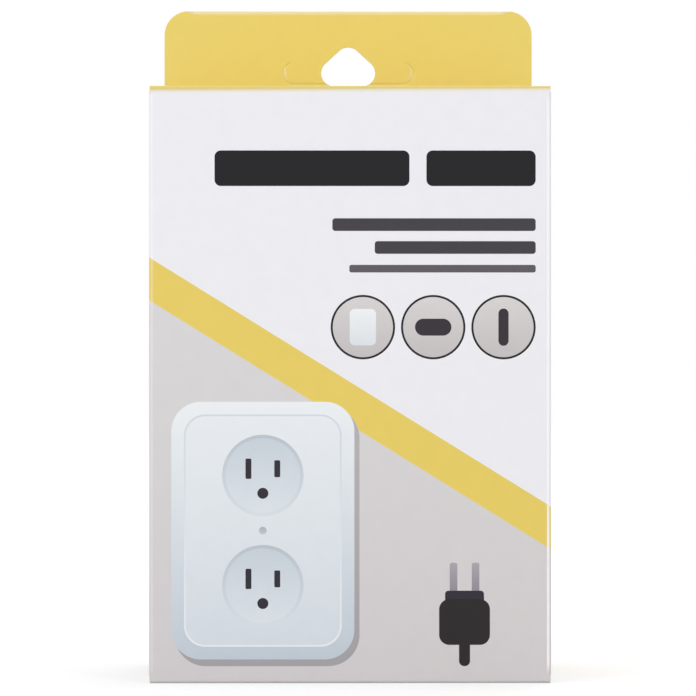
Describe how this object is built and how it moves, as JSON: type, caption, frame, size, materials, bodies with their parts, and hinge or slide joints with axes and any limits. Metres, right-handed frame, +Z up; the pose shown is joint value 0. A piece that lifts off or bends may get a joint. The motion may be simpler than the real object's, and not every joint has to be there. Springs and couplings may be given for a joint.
{
  "type": "hanging carton",
  "caption": "Folded paperboard retail carton with a glued bottom, a tuck-in top flap and a doubled hang tab pierced for a display peg.",
  "frame": {"origin": "middle of the underside of the carton", "axes": "+Z up, X across the front panel, -Y towards the viewer of the front panel, +Y towards the back panel and hang tab"},
  "size_m": [0.095, 0.064, 0.1635],
  "materials": {
    "printed_board": "satin varnish over print",
    "yellow_board": "satin varnish over print"
  },
  "bodies": {
    "carton": {"carton_body": "printed_board"},
    "flap": {"top_flap": "yellow_board"}
  },
  "joints": [
    {"name": "top_flap_hinge", "type": "hinge", "parent": "carton", "child": "flap", "pos_m": [0, -0.0316, 0.1406], "axis": [1, 0, 0], "range_deg": [0, 180]}
  ]
}
